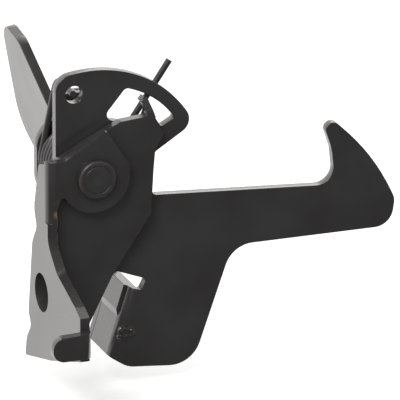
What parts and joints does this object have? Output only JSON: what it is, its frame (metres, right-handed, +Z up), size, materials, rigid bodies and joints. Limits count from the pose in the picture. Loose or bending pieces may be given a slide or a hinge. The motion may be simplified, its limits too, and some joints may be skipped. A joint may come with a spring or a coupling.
{
  "type": "sprung hook latch",
  "caption": "Sprung pivoting hook latch in black-painted sheet steel: bolted bracket, hook lever with thumb blade, torsion spring and rivet.",
  "frame": {"origin": "in the middle of the bolt hole, on its axis", "axes": "+X away from the panel, along the hook arm; +Y parallel to the pivot axis, back through the plates; +Z up"},
  "size_m": [0.1235, 0.0952, 0.0979],
  "materials": {
    "black_paint": "gloss",
    "black_spring": "satin",
    "black_rivet": "satin",
    "zinc_steel": "satin"
  },
  "bodies": {
    "bracket": {"mounting_bracket": "black_paint", "stop_plate": "black_paint", "bracket_welds": "black_paint", "ear_spacer": "zinc_steel", "pivot_rivet": "black_rivet", "rear_washer": "zinc_steel", "thrust_washer": "zinc_steel"},
    "hook": {"hook_lever": "black_paint", "rear_plate": "black_paint", "web_welds": "black_paint", "thumb_blade": "black_paint", "blade_welds": "black_paint", "torsion_spring": "black_spring", "spring_bush": "zinc_steel"}
  },
  "joints": [
    {"name": "hook_pivot", "type": "hinge", "parent": "bracket", "child": "hook", "pos_m": [0.0128, 0.0011, 0.0367], "axis": [0, 1, 0], "range_deg": [-18, 8]}
  ]
}
